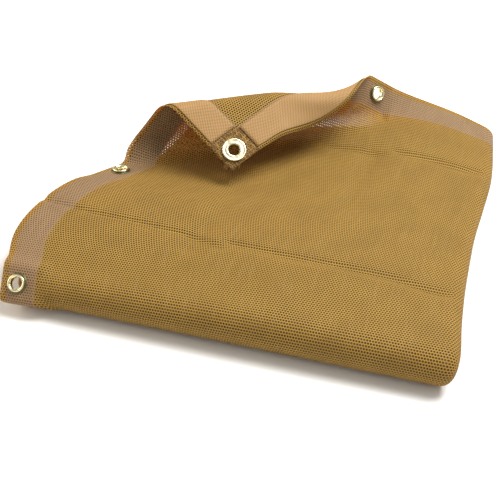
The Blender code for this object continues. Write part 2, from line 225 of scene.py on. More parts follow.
def unit(vectors: np.ndarray) -> np.ndarray:
    """Vectors at length 1."""
    return vectors / np.linalg.norm(vectors, axis=-1, keepdims=True)


def add_node(tree: NodeTree, kind: str, inputs: dict[Any, Any] | Sequence[Any] = (),
             output: int | str = 0, **settings: Any) -> NodeSocket | None:
    """Add a shader node, set or link its inputs, and give one of its outputs.

    Args:
        tree: the node tree.
        kind: the node's type, without the ShaderNode that Blender puts before it.
        inputs: plain values or output sockets, in the order of the inputs or by socket name or number.
        output: which output is wanted.
        **settings: attributes to set on the node.

    Returns:
        The output's socket, or None where the node has no outputs.
    """
    node = tree.nodes.new(f"ShaderNode{kind}")
    for key, value in settings.items():
        setattr(node, key, value)
    for key, value in (inputs if isinstance(inputs, dict) else dict(enumerate(inputs))).items():
        if isinstance(value, NodeSocket):
            tree.links.new(value, node.inputs[key])
        else:
            node.inputs[key].default_value = value
    return node.outputs[output] if node.outputs else None


AddNode = Callable[..., Any]
# Settings that several nodes share; a Map Range reads value, from low, from high, to low and to high
TIMES, HIGHEST = {"operation": "MULTIPLY"}, {"operation": "MAXIMUM"}
STEP = {"interpolation_type": "SMOOTHSTEP"}
# A Mix node's colour sockets
FACTOR, FIRST, SECOND = 0, 6, 7
COLOURS = {"data_type": "RGBA", "output": 2}
WHOLE_TURN = 2 * math.pi


def empty_material(name: str) -> tuple[Material, AddNode]:
    """A new material with no nodes, and add_node for its tree."""
    made = bpy.data.materials.new(name)
    made.use_nodes = True
    made.node_tree.nodes.clear()
    return made, partial(add_node, made.node_tree)


@dataclass(frozen=True)
class KnittedMesh:
    """Knitted shade mesh: flat polyethylene yarn, extruded, knitted in staggered cells and coated.

    The coat joins the yarns, so the eye sees a matt, slightly waxy gold skin pricked with holes, which glows
    where light comes from behind; the yarn round each hole is darkened with painted shade. The pale tape
    shows through it along the hem, and at the corner, where the hems cross, it is doubled and reads dark and
    cross-hatched.
    """

    yarn: str = "#d6ad46"
    # The two gap colours are painted shade: the dark in and round the cells' holes, on the bare mesh and over
    # the tape
    painted_gap_shade: str = "#2a1703"
    hem_yarn: str = "#c4a478"
    painted_hem_gap_shade: str = "#6b4526"
    weld: str = "#c7a678"
    corner: str = "#6b4716"
    bright_thread: str = "#e0b45c"
    handled: str = "#8f6a2c"
    slub: str = "#dcb878"
    glow_tint: str = "#ffbd78"
    roughness: float = 0.62
    ior: float = 1.5
    sheen: float = 0.12
    sheen_roughness: float = 0.5
    glow: float = 0.5
    # The real cells repeat every 2.1 to 2.6 mm, too fine to show: they are drawn a little coarser
    pitch: float = 2.9 * MM
    # Patches left by handling, about a thumb wide
    handled_size: float = 38.46 * MM
    # Slubs: one thread wide, some 55 mm long, across and down the sheet
    slub_size: tuple[float, float] = (2.381 * MM, 55.56 * MM)
    # Threads of the doubled corner: about 1.2 mm wide, 14 mm long
    hatch_size: tuple[float, float] = (1.1765 * MM, 14.29 * MM)
    # Where the painted shade in a gap starts and is full, and where the gap becomes an open hole, on the
    # cells' 0 to 1
    painted_gap_shade_range: tuple[float, float] = (0.04, 0.42)
    painted_hem_gap_shade_range: tuple[float, float] = (0.12, 0.7)
    hole_range: tuple[float, float] = (0.62, 0.9)
    thread_range: tuple[float, float] = (0.5, 0.66)
    # The noise that starts and ends a mark, and the share of its colour that each end gives
    handled_range: tuple[float, ...] = (0.35, 0.7, 0.0, 0.22)
    slub_range: tuple[float, ...] = (0.45, 0.75, 0.0, 0.16)
    # The hem from its edge inwards, mm: golden first, then pale, then a light welded line
    golden_edge: float = 6.0
    weld_start: float = HEM_WIDTH - 2.2
    weld_end: float = HEM_WIDTH + 0.6
    corner_end: float = HEM_WIDTH + 3.0
    # The way over which a band fades at its outer side, at its inner side and at the corner, mm
    outer_fade: float = 1.2
    inner_fade: float = 0.8
    corner_fade: float = 2.0
    weld_share: float = 0.55
    corner_share: float = 0.85
    hatch_height: float = 0.8
    bump: float = 0.8
    bump_height: float = 0.8 * MM

    def cells(self, add: AddNode, u: NodeSocket, v: NodeSocket) -> NodeSocket:
        """Opening pattern: 1 in the middle of each cell's gap, 0 on the yarn.

        Args:
            add: adds a node to the material.
            u: place across the sheet, metres.
            v: place down the sheet, metres.

        Returns:
            The pattern's socket.
        """
        row = add("Math", (v, self.pitch), operation="DIVIDE")
        whole_row = add("Math", (row,), operation="FLOOR")
        stagger = add("Math", (whole_row, 0.5), **TIMES)
        column = add("Math", (add("Math", (u, self.pitch), operation="DIVIDE"), stagger), operation="ADD")
        waves = []
        for place in (row, column):
            angle = add("Math", (place, WHOLE_TURN), **TIMES)
            cosine = add("Math", (angle,), operation="COSINE")
            waves.append(add("Math", (cosine, -0.5, 0.5), operation="MULTIPLY_ADD"))
        return add("Math", waves, **TIMES)

    def threads(self, add: AddNode, place: NodeSocket, size: tuple[float, float]) -> NodeSocket:
        """Uneven threads: noise drawn out to a thread's size across and down the sheet, metres."""
        drawn = add("Mapping", {"Vector": place, "Scale": (1 / size[0], 1 / size[1], 1.0)})
        return add("TexNoise", {"Vector": drawn, "Scale": 1.0, "Detail": 2.0})

    def hem_band(self, add: AddNode, u: NodeSocket, v: NodeSocket, low: float, high: float) -> NodeSocket:
        """Where a band lies along the left and rear hems, 0 to 1, but for the corner where they cross.

        Args:
            add: adds a node to the material.
            u: place across the sheet, metres.
            v: place down the sheet, metres.
            low: the band's outer side, mm from the edge.
            high: the band's inner side, mm from the edge.
        """
        bands = []
        for across, down in ((u, v), (v, u)):
            start = add("MapRange", (across, low * MM, (low + self.outer_fade) * MM), **STEP)
            stop = add("MapRange", (across, (high - self.inner_fade) * MM, high * MM, 1.0, 0.0), **STEP)
            inside = add("Math", (start, stop), **TIMES)
            past_corner = add("MapRange", (down, HEM_WIDTH * MM, (HEM_WIDTH + self.corner_fade) * MM), **STEP)
            bands.append(add("Math", (inside, past_corner), **TIMES))
        return add("Math", bands, **HIGHEST)

    def colour(self, add: AddNode, place: NodeSocket, opening: NodeSocket,
               masks: dict[str, NodeSocket]) -> NodeSocket:
        """The cloth's colour, laid on in layers.

        Args:
            add: adds a node to the material.
            place: the flat place, metres.
            opening: the cells' pattern.
            masks: where the pale hem, the weld and the corner are, and the corner's hatch.

        Returns:
            The colour's socket.
        """
        cloudy = add("TexNoise", {"Vector": place, "Scale": 1 / self.handled_size, "Detail": 3.0,
                                  "Roughness": 0.6})
        slubs = self.threads(add, place, self.slub_size)
        # Over the pale tape the cells' gaps are darkened with painted shade
        pale = add("Mix", {FACTOR: add("MapRange", (opening, *self.painted_hem_gap_shade_range), **STEP),
                           FIRST: to_linear(self.hem_yarn), SECOND: to_linear(self.painted_hem_gap_shade)}, **COLOURS)
        patch = add("Mix", {FACTOR: add("MapRange", (masks["hatch"], *self.thread_range), **STEP),
                            FIRST: to_linear(self.corner), SECOND: to_linear(self.bright_thread)}, **COLOURS)
        shown = to_linear(self.yarn)
        # The first layer is painted shade, darkening the yarn round each cell's hole
        for share, over in (
                (add("MapRange", (opening, *self.painted_gap_shade_range), **STEP), to_linear(self.painted_gap_shade)),
                (masks["pale"], pale),
                (add("Math", (masks["weld"], self.weld_share), **TIMES), to_linear(self.weld)),
                (add("Math", (masks["corner"], self.corner_share), **TIMES), patch),
                (add("MapRange", (cloudy, *self.handled_range), **STEP), to_linear(self.handled)),
                (add("MapRange", (slubs, *self.slub_range), **STEP), to_linear(self.slub))):
            shown = add("Mix", {FACTOR: share, FIRST: shown, SECOND: over}, **COLOURS)
        return shown

    def build(self) -> Material:
        """Make the cloth's material, for a mesh whose UVs are its flat place in metres."""
        made, add = empty_material("knitted shade mesh, extruded and coated")
        place = add("UVMap", uv_map="flat_sheet")
        u, v = (add("SeparateXYZ", (place,), output) for output in (0, 1))
        opening = self.cells(add, u, v)
        corner_range = ((self.corner_end - self.corner_fade) * MM, self.corner_end * MM, 1.0, 0.0)
        near_edges = [add("MapRange", (side, *corner_range), **STEP) for side in (u, v)]
        crossed = [self.threads(add, place, size) for size in (self.hatch_size, self.hatch_size[::-1])]
        masks = {"pale": self.hem_band(add, u, v, self.golden_edge, HEM_WIDTH),
                 "weld": self.hem_band(add, u, v, self.weld_start, self.weld_end),
                 "corner": add("Math", near_edges, **TIMES),
                 "hatch": add("Math", crossed, **HIGHEST)}
        fabric = self.colour(add, place, opening, masks)
        corner_threads = add("Math", (masks["hatch"], masks["corner"]), **TIMES)
        corner_relief = add("Math", (corner_threads, self.hatch_height), **TIMES)
        yarn_relief = add("Math", (1.0, opening), operation="SUBTRACT")
        raised = add("Math", (yarn_relief, corner_relief), operation="ADD")
        bump = add("Bump", {"Strength": self.bump, "Distance": self.bump_height, "Height": raised})
        covered = add("Math", (masks["pale"], masks["corner"]), **HIGHEST)
        bare = add("Math", (1.0, covered), operation="SUBTRACT")
        holes = add("Math", (add("MapRange", (opening, *self.hole_range), **STEP), bare), **TIMES)
        coat = add("BsdfPrincipled", {"Base Color": fabric, "Roughness": self.roughness, "IOR": self.ior,
                                      "Normal": bump, "Sheen Weight": self.sheen,
                                      "Sheen Roughness": self.sheen_roughness})
        warm = add("Mix", {FACTOR: 1.0, FIRST: fabric, SECOND: to_linear(self.glow_tint)},
                   blend_type="MULTIPLY", **COLOURS)
        lit_through = add("BsdfTranslucent", {"Color": warm, "Normal": bump})
        body = add("MixShader", (self.glow, coat, lit_through))
        shown = add("MixShader", (holes, body, add("BsdfTransparent")))
        add("OutputMaterial", {"Surface": shown})
        return made


@dataclass(frozen=True)
class WovenTape:
    """Woven polypropylene tape, heat set: a pale, matt, slightly pink band with a fine soft rib."""

    colour: str = "#b58f54"
    rib: str = "#6b4824"
    handled: str = "#a97f57"
    roughness: float = 0.7
    ior: float = 1.5
    # The tape's ribs are about 1 mm apart, too fine to show: they are drawn coarser
    pitch: float = 2.6 * MM
    rib_range: tuple[float, float] = (-0.7, 0.9)
    # Patches left by handling, and the noise that starts and ends them with their share of colour
    handled_size: float = 16.67 * MM
    handled_range: tuple[float, ...] = (0.4, 0.75, 0.0, 0.3)
    bump: float = 0.4
    bump_height: float = 0.4 * MM

    def build(self) -> Material:
        """Make the tape's material."""
        made, add = empty_material("woven hem tape, heat set")
        place = add("UVMap", uv_map="flat_sheet")
        waves = []
        for output in (0, 1):
            side = add("SeparateXYZ", (place,), output)
            angle = add("Math", (side, WHOLE_TURN / self.pitch), **TIMES)
            waves.append(add("Math", (angle,), operation="SINE"))
        weave = add("Math", waves, **TIMES)
        cloudy = add("TexNoise", {"Vector": place, "Scale": 1 / self.handled_size, "Detail": 3.0})
        shown = to_linear(self.colour)
        for share, over in ((add("MapRange", (weave, *self.rib_range), **STEP), self.rib),
                            (add("MapRange", (cloudy, *self.handled_range), **STEP), self.handled)):
            shown = add("Mix", {FACTOR: share, FIRST: shown, SECOND: to_linear(over)}, **COLOURS)
        bump = add("Bump", {"Strength": self.bump, "Distance": self.bump_height, "Height": weave})
        coat = add("BsdfPrincipled", {"Base Color": shown, "Roughness": self.roughness, "IOR": self.ior,
                                      "Normal": bump})
        add("OutputMaterial", {"Surface": coat})
        return made


@dataclass(frozen=True)
class PressedBrass:
    """Brass pressed from sheet: a pale metal with soft reflections and darker, rougher blotches."""

    name: str
    colour: str
    tarnish: str
    roughness: float
    tarnish_roughness: float = 0.14
    # Blotches of tarnish about 4 mm across
    blotch_size: float = 4.167 * MM
    tarnish_range: tuple[float, ...] = (0.5, 0.8, 0.0, 0.5)
    rough_range: tuple[float, float] = (0.35, 0.7)
    bump: float = 0.12
    bump_height: float = 0.2 * MM

    def build(self) -> Material:
        """Make the brass."""
        made, add = empty_material(self.name)
        place = add("TexCoord", output="Object")
        mottled = add("TexNoise", {"Vector": place, "Scale": 1 / self.blotch_size, "Detail": 4.0})
        share = add("MapRange", (mottled, *self.tarnish_range), **STEP)
        colour = add("Mix", {FACTOR: share, FIRST: to_linear(self.colour), SECOND: to_linear(self.tarnish)},
                     **COLOURS)
        rough = add("MapRange", (mottled, *self.rough_range, self.roughness,
                                 self.roughness + self.tarnish_roughness), **STEP)
        bump = add("Bump", {"Strength": self.bump, "Distance": self.bump_height, "Height": mottled})
        shell = add("BsdfPrincipled", {"Base Color": colour, "Metallic": 1.0, "Roughness": rough,
                                       "Normal": bump})
        add("OutputMaterial", {"Surface": shell})
        return made


# Plated and tumbled: the flanges catch the light as near-white rings
PLATED_BRASS = PressedBrass("plated brass, pressed and tumbled", "#efe6bd", "#b5a674", 0.2)
# Rougher brass for the washers; their dark olive-brown colour is painted shade and a painted reflection of
# the brown cloth round them
DULL_BRASS_WITH_PAINTED_SHADE = PressedBrass("brass washer, dulled, with painted shade", "#7a7250", "#4c4730", 0.38)


@dataclass(frozen=True)
class StudioPaper:
    """Seamless white studio paper, calendered: matt and even, so shadows fade out softly on it."""

    colour: str = "#f4f4f2"
    roughness: float = 0.9

    def build(self) -> Material:
        """Make the paper."""
        made, add = empty_material("seamless studio paper")
        coat = add("BsdfPrincipled", {"Base Color": to_linear(self.colour), "Roughness": self.roughness})
        add("OutputMaterial", {"Surface": coat})
        return made


def new_piece(name: str, mesh: Mesh, finish: Material,
              nodes: Sequence[str] = ()) -> Object:
    """Link a mesh as a piece of the tarp.

    Args:
        name: the piece's name.
        mesh: its mesh, in metres in the shared frame.
        finish: its material.
        nodes: the solid nodes that it stands for.

    Returns:
        The object.
    """
    piece = bpy.data.objects.new(name, mesh)
    bpy.context.scene.collection.objects.link(piece)
    mesh.materials.append(finish)
    mesh.shade_smooth()
    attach(piece, "root")
    if nodes:
        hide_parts(*nodes)
    return piece


@dataclass
class Fold:
    """The folded sheet's middle surface, as a function of its flat place."""

    offset: np.ndarray = field(default_factory=lambda: np.zeros(3))
    roll_steps: int = 120

    def pad_height(self, x: np.ndarray, y: np.ndarray) -> np.ndarray:
        """Thickness of the pad at a place in plan."""
        columns = [along(PAD_SECTIONS, "y", name, y) for name in ("left", "middle", "shoulder", "right")]
        return smooth(COLUMN_X, columns, x)

    def roll_profile(self, s: np.ndarray, dip: np.ndarray, turn: np.ndarray, valley: np.ndarray,
                     wall: np.ndarray, crest: np.ndarray, fall: np.ndarray) -> tuple[np.ndarray, np.ndarray]:
        """Offset and rise after the arc length s: valley arc, wall, crest arc, then the falling flap.

        Args:
            s: arc length from the roll's foot.
            dip: direction at the foot, radians.
            turn: share of the whole turn that is made.
            valley: radius of the first arc.
            wall: length of the wall between the arcs.
            crest: radius of the second arc.
            fall: how steeply the flap falls forward, degrees.

        Returns:
            The offset along the roll's direction, and the rise.
        """
        shares = (np.arange(self.roll_steps) + 0.5) / self.roll_steps
        arc = s[..., None] * shares
        upright = math.pi / 2
        start = dip[..., None]
        crest_start = valley[..., None] * (upright - start) + wall[..., None]
        final = math.pi + np.radians(fall[..., None])
        angle = start + np.clip(arc / valley[..., None], 0, upright - start)
        angle = angle + np.clip((arc - crest_start) / crest[..., None], 0, final - upright)
        angle = start + (angle - start) * turn[..., None]
        return s * np.cos(angle).mean(-1), s * np.sin(angle).mean(-1)

    def rolled(self, x: np.ndarray, y: np.ndarray) -> tuple[np.ndarray, np.ndarray, np.ndarray]:
        """The top layer's x, y and z for a place (x, y) in its flat plan, all mm."""
        c, n = math.cos(ROLL_DIRECTION), math.sin(ROLL_DIRECTION)
        station = x * c + y * n
        reach = y * c - x * n
        start = along(ROLL_STATIONS, "along", "start", station)
        s = np.maximum(reach - start, 0.0)
        foot_x = np.where(s > 0, station * c - start * n, x)
        foot_y = np.where(s > 0, station * n + start * c, y)
        base = self.pad_height(foot_x, foot_y)
        ahead = self.pad_height(foot_x + SLOPE_PROBE * n, foot_y - SLOPE_PROBE * c)
        slope = (base - ahead) / SLOPE_PROBE
        values = [along(ROLL_STATIONS, "along", name, station)
                  for name in ("turn", "valley", "wall", "crest", "fall")]
        offset, rise = self.roll_profile(s, np.arctan(slope), *values)
        return foot_x - offset * n, foot_y + offset * c, base + rise - self.crease_depth(foot_x, foot_y, s)

    def crease_depth(self, x: np.ndarray, y: np.ndarray, s: np.ndarray) -> np.ndarray:
        """How far the creases press the top layer in, at (x, y) and s past the roll's foot, all mm."""
        depth = np.zeros(np.shape(x))
        for crease in CREASES:
            run = np.array((crease.x1 - crease.x0, crease.y1 - crease.y0))
            length = np.hypot(*run)
            run = run / length
            passed = (x - crease.x0) * run[0] + (y - crease.y0) * run[1]
            aside = (y - crease.y0) * run[0] - (x - crease.x0) * run[1]
            for swing, wave, phase in CREASE_WANDER:
                aside = aside + swing * np.sin(passed / wave + phase)
            ends = ease(passed / CREASE_END + 0.5) * ease((length - passed) / CREASE_END + 0.5)
            depth = depth + crease.depth * np.exp(-(aside / crease.width) ** 2) * ends
        return depth * (1 - ease(s / CREASE_FADE))

    def bare(self, u: np.ndarray, v: np.ndarray) -> np.ndarray:
        """The middle surface's points before the eyelets flatten it, all mm."""
        side, across = self.locate(SIDE_FOLD, u)
        depth, down = self.locate(DEPTH_FOLD, v)
        from_x, to_x, from_level, to_level, bulge = self.columns(SIDE_FOLD, side)
        from_y, to_y, from_turn, to_turn = self.columns(DEPTH_FOLD, depth)
        share_x = from_x + (to_x - from_x) * across
        swing = (1 - np.cos(math.pi * across)) / 2
        level = from_level + (to_level - from_level) * swing
        left = along(SIDE_EDGES, "v", "left", v)
        right = along(SIDE_EDGES, "v", "right", v)
        narrowing = 1 - (right - left) / TOP_WIDTH
        spread = share_x * (1 - share_x * share_x * (3 - 2 * share_x)) * narrowing * TOP_WIDTH
        x = left + (right - left) * share_x + spread + bulge * np.sin(math.pi * across)
        share_y = from_y + (to_y - from_y) * down
        turn = math.pi * (from_turn + (to_turn - from_turn) * down)
        rear = along(REAR_EDGE, "u", "y", u)
        radius = BUNDLE_HALF * (1 + level) + BUNDLE_GAP / 2
        y = rear + (FRONT_AXIS - rear) * share_y - radius * np.sin(turn)
        full = 4 * BUNDLE_HALF + BUNDLE_GAP
        z = (full / 2 + radius * np.cos(turn)) / full * self.pad_height(x, np.maximum(y, FRONT_AXIS))
        top = (u <= TOP_WIDTH) & (v <= TOP_DEPTH)
        top_place = self.rolled(x, y)
        return np.stack([np.where(top, on_top, low) for on_top, low in zip(top_place, (x, y, z))], -1)

    @staticmethod
    def columns(rows: Sequence[Any], index: np.ndarray) -> list[np.ndarray]:
        """A fold table's columns past name, length and steps, read at an array of row numbers."""
        return [np.array(column)[index] for column in list(zip(*rows))[3:]]

    @staticmethod
    def locate(rows: Sequence[Any], at: np.ndarray) -> tuple[np.ndarray, np.ndarray]:
        """The index of the run that holds each arc position, and the share of it that is passed."""
        ends = np.cumsum([row.length for row in rows])
        i = np.clip(np.searchsorted(ends, at, side="right"), 0, len(rows) - 1)
        lengths = np.array([row.length for row in rows])[i]
        return i, (at - (ends[i] - lengths)) / lengths

    @staticmethod
    def steps(shape: Callable, u: np.ndarray, v: np.ndarray) -> tuple[np.ndarray, np.ndarray]:
        """How far a surface's points move for a millimetre of u and of v."""
        return (shape(u + NORMAL_STEP, v) - shape(u - NORMAL_STEP, v),
                shape(u, v + NORMAL_STEP) - shape(u, v - NORMAL_STEP))

    def middle(self, u: np.ndarray, v: np.ndarray) -> np.ndarray:
        """The middle surface, flat under each eyelet, in the solid model's own millimetres."""
        u, v = np.broadcast_arrays(np.asarray(u, float), np.asarray(v, float))
        points = self.bare(u, v)
        for eyelet in Eyelets:
            centre_u, centre_v = (np.array(value) for value in eyelet.value)
            centre = self.bare(centre_u, centre_v)
            along_u, along_v = self.steps(self.bare, centre_u, centre_v)
            away = np.maximum(abs(u - centre_u), abs(v - centre_v))
            weight = 1 - ease((away - EYELET_PATCH - 1) / EYELET_FADE)
            flat = centre + (u - centre_u)[..., None] * along_u + (v - centre_v)[..., None] * along_v
            points = points + (flat - points) * weight[..., None]
        return points

    def normal(self, u: np.ndarray, v: np.ndarray) -> np.ndarray:
        """Unit normal of the sheet's upper face."""
        along_u, along_v = self.steps(self.middle, u, v)
        return unit(np.cross(along_v, along_u))

    def at(self, u: np.ndarray, v: np.ndarray, *lifts: Any) -> list[np.ndarray]:
        """Points in the shared frame, at one or more distances from the middle surface.

        Args:
            u: place across the flat sheet, mm.
            v: place down the flat sheet, mm.
            *lifts: distances above the middle surface, mm.

        Returns:
            Points for each distance, metres.
        """
        middle, normal = self.middle(u, v), self.normal(u, v)
        heights = [np.broadcast_to(np.asarray(lift, float), np.shape(u))[..., None] for lift in lifts]
        return [(middle + height * normal) * MM + self.offset for height in heights]

    def eyelet_matrix(self, eyelet: Eyelets) -> Matrix:
        """An eyelet's own frame: +Z is the upper face's normal, origin in the cloth's middle."""
        u, v = (np.array(value) for value in eyelet.value)
        normal = self.normal(u, v)
        across = unit(self.steps(self.middle, u, v)[0])
        turned = Matrix((across, np.cross(normal, across), normal)).transposed().to_4x4()
        return Matrix.Translation(Vector(self.at(u, v, 0.0)[0])) @ turned


def sheet_between(name: str, us: np.ndarray, vs: np.ndarray, upper: np.ndarray,
                  lower: np.ndarray) -> Mesh:
    """A closed thin sheet from its upper and lower grids of points.

    Args:
        name: the mesh's name.
        us: grid lines across, mm.
        vs: grid lines down, mm.
        upper: points of the upper face, rows of vs by columns of us, metres.
        lower: points of the lower face.

    Returns:
        The mesh, with its flat place in metres as the UV map flat_sheet.
    """
    rows, columns = len(vs), len(us)
    top = np.arange(rows * columns).reshape(rows, columns)
    low = top + rows * columns
    quads = [np.stack([top[:-1, :-1], top[1:, :-1], top[1:, 1:], top[:-1, 1:]], -1).reshape(-1, 4),
             np.stack([low[:-1, :-1], low[:-1, 1:], low[1:, 1:], low[1:, :-1]], -1).reshape(-1, 4)]
    rim = np.concatenate([top[0, :-1], top[:-1, -1], top[-1, :0:-1], top[:0:-1, 0]])
    ahead = np.roll(rim, -1)
    quads.append(np.stack([rim, ahead, ahead + rows * columns, rim + rows * columns], -1))
    faces = np.concatenate(quads)
    mesh = bpy.data.meshes.new(name)
    points = np.concatenate([upper.reshape(-1, 3), lower.reshape(-1, 3)])
    mesh.from_pydata(points.tolist(), [], faces.tolist())
    grid_u, grid_v = np.meshgrid(us, vs)
    flat = np.stack([grid_u, grid_v], -1).reshape(-1, 2) * MM
    flat = np.concatenate([flat, flat])
    layer = mesh.uv_layers.new(name="flat_sheet")
    layer.data.foreach_set("uv", flat[faces.ravel()].ravel())
    mesh.validate()
    return mesh


def even(start: float, stop: float, step: float) -> list[float]:
    """Even lines after start, up to and including stop, about a step apart."""
    count = max(1, round((stop - start) / step))
    return [start + (stop - start) * (i + 1) / count for i in range(count)]


@dataclass
class TarpCloth:
    """The mesh sheet with its turned-in hem, sizes in mm."""

    fold: Fold
    top_step: float = 3.2
    hole_radius: float = 7.7
    thickness: float = 0.8
    # The hem is this much thicker, rounded off over a short way at its inner side and at the fold
    hem_extra: float = 0.35
    hem_round: float = 2.0
    # The cutters reach this far past the middle surface on both sides
    cutter_reach: float = 4.0
    cutter_core: float = 0.001
    cutter_sides: int = 48

    def lines(self, rows: Sequence[Any]) -> np.ndarray:
        """Grid lines along one fold's runs, mm: fine in the top layer, coarser where it is hidden."""
        found = [0.0] + even(0.0, HEM_WIDTH, self.top_step) + even(HEM_WIDTH, rows[0].length, self.top_step)
        start = rows[0].length
        for row in rows[1:]:
            found += [start + row.length * (i + 1) / row.steps for i in range(row.steps)]
            start += row.length
        return np.array(found)

    def hem_swell(self, u: np.ndarray, v: np.ndarray) -> np.ndarray:
        """Extra thickness of the hem, mm: the cloth is doubled there and rounded at the fold."""
        edge = np.minimum(u, v)
        return (self.hem_extra * ease((HEM_WIDTH + 1 - edge) / self.hem_round)
                * ease((edge + 1.0) / self.hem_round))

    def build(self, finish: Material) -> Object:
        """Make the cloth."""
        us, vs = self.lines(SIDE_FOLD), self.lines(DEPTH_FOLD)
        u, v = np.meshgrid(us, vs)
        half = self.thickness / 2
        upper, lower = self.fold.at(u, v, half + self.hem_swell(u, v), -half)
        mesh = sheet_between("shade_mesh_sheet", us, vs, upper, lower)
        piece = new_piece("shade_mesh_sheet", mesh, finish, ["tarp_cloth"])
        cut_holes(piece, self.cutter(list(Eyelets)))
        return piece

    def cutter(self, eyelets: Sequence[Eyelets]) -> Object:
        """Round cutters at the eyelets as one object, removed again by cut_holes."""
        core, radius, reach = self.cutter_core, self.hole_radius, self.cutter_reach
        section = [(core, -reach), (radius, -reach), (radius, reach), (core, reach)]
        places = [self.fold.eyelet_matrix(eyelet) for eyelet in eyelets]
        made = bpy.data.objects.new("cutter", ring_mesh("cutter", section, self.cutter_sides, *places))
        bpy.context.scene.collection.objects.link(made)
        return made


def cut_holes(piece: Object, cutter: Object) -> None:
    """Cut the eyelets' holes out of a sheet for good, and remove the cutter.

    Args:
        piece: the sheet.
        cutter: closed round solids.
    """
    cut = piece.modifiers.new("eyelet holes", "BOOLEAN")
    cut.operation = "DIFFERENCE"
    cut.object = cutter
    cut.solver = "EXACT"
    bpy.context.view_layer.update()
    shown = piece.evaluated_get(bpy.context.evaluated_depsgraph_get())
    cut_mesh = bpy.data.meshes.new_from_object(shown)
    piece.modifiers.clear()
    piece.data = cut_mesh
    bpy.data.objects.remove(cutter)


def ring_mesh(name: str, profile: Sequence[tuple[float, float]], steps: int,
              *matrices: Matrix) -> Mesh:
    """A closed profile of (radius, height) points in mm, turned about Z and placed.

    Args:
        name: the mesh's name.
        profile: the closed section.
        steps: steps round the circle.
        *matrices: where each copy goes.

    Returns:
        The mesh.
    """
    count = len(profile)
    points, faces = [], []
    for matrix in matrices:
        first = len(points)
        for i in range(steps):
            angle = WHOLE_TURN * i / steps
            here, ahead = first + i * count, first + (i + 1) % steps * count
            points += [matrix @ (Vector((r * math.cos(angle), r * math.sin(angle), z)) * MM)
                       for r, z in profile]
            faces += [(here + j, ahead + j, ahead + (j + 1) % count, here + (j + 1) % count)
                      for j in range(count)]
    mesh = bpy.data.meshes.new(name)
    mesh.from_pydata(points, [], faces)
    mesh.validate()
    return mesh


@dataclass
class HemTapes:
    """The pale tapes in the hem, which stop a hem's width before the corner, sizes in mm."""

    fold: Fold
    step: float = 4.0
    across_step: float = 3.2
    turn_step: float = 2.5
    inner: float = 36.0
    # The tape sinks a little into the cloth, so that no light shows between them
    sink: float = 0.3
    # Its sides and its end are thinned, so that they lie soft on the hem
    thinning: float = 0.38
    side_round: float = 1.5
    end_round: float = 5.0
    selvedge: float = 1.0

    def strip(self, name: str, us: list[float], vs: list[float], finish: Material,
              node: str, eyelets: Sequence[Eyelets], cloth: TarpCloth) -> Object:
        """One tape on the hem's underside.

        Args:
            name: the piece's name.
            us: grid lines across, mm.
            vs: grid lines down, mm.
            finish: the tape's material.
            node: the solid node that it stands for.
            eyelets: the eyelets that go through it.
            cloth: the cloth, whose cutter makes the holes.
        """
        u, v = np.meshgrid(us, vs)
        upper = -(CLOTH_THICKNESS / 2 + TAPE_GAP)
        edge = np.minimum(u, v)
        end = np.maximum(u, v) - TAPE_STOP
        flat = (ease((edge - TAPE_INSET) / self.side_round) * ease((self.inner - edge) / self.side_round)
                * ease(end / self.end_round))
        bevel = self.thinning * (1 - flat)
        faces = self.fold.at(u, v, upper + self.sink - bevel, upper - TAPE_THICKNESS + bevel)
        mesh = sheet_between(name, np.array(us), np.array(vs), *faces)
        piece = new_piece(name, mesh, finish, [node])
        cut_holes(piece, cloth.cutter(eyelets))
        return piece

    def build(self, finish: Material, cloth: TarpCloth) -> list[Object]:
        """Make both tapes."""
        lines = even(TAPE_INSET, self.inner, self.across_step)
        across = ([TAPE_INSET, TAPE_INSET + self.selvedge] + lines[:-1]
                  + [self.inner - self.selvedge, self.inner])
        last_v = SHEET_DEPTH
        last_u = TOP_WIDTH + SIDE_FOLD[1].length
        down = [TAPE_STOP] + even(TAPE_STOP, TOP_DEPTH, self.step) + even(TOP_DEPTH, last_v, self.step)
        over = [TAPE_STOP] + even(TAPE_STOP, TOP_WIDTH, self.step) + even(TOP_WIDTH, last_u, self.turn_step)
        left = self.strip("left_hem_tape", across, down, finish, "hem_tape_left",
                          (Eyelets.mid_left, Eyelets.front_left), cloth)
        rear = self.strip("rear_hem_tape", over, across, finish, "hem_tape_rear", (Eyelets.rear,), cloth)
        return [left, rear]


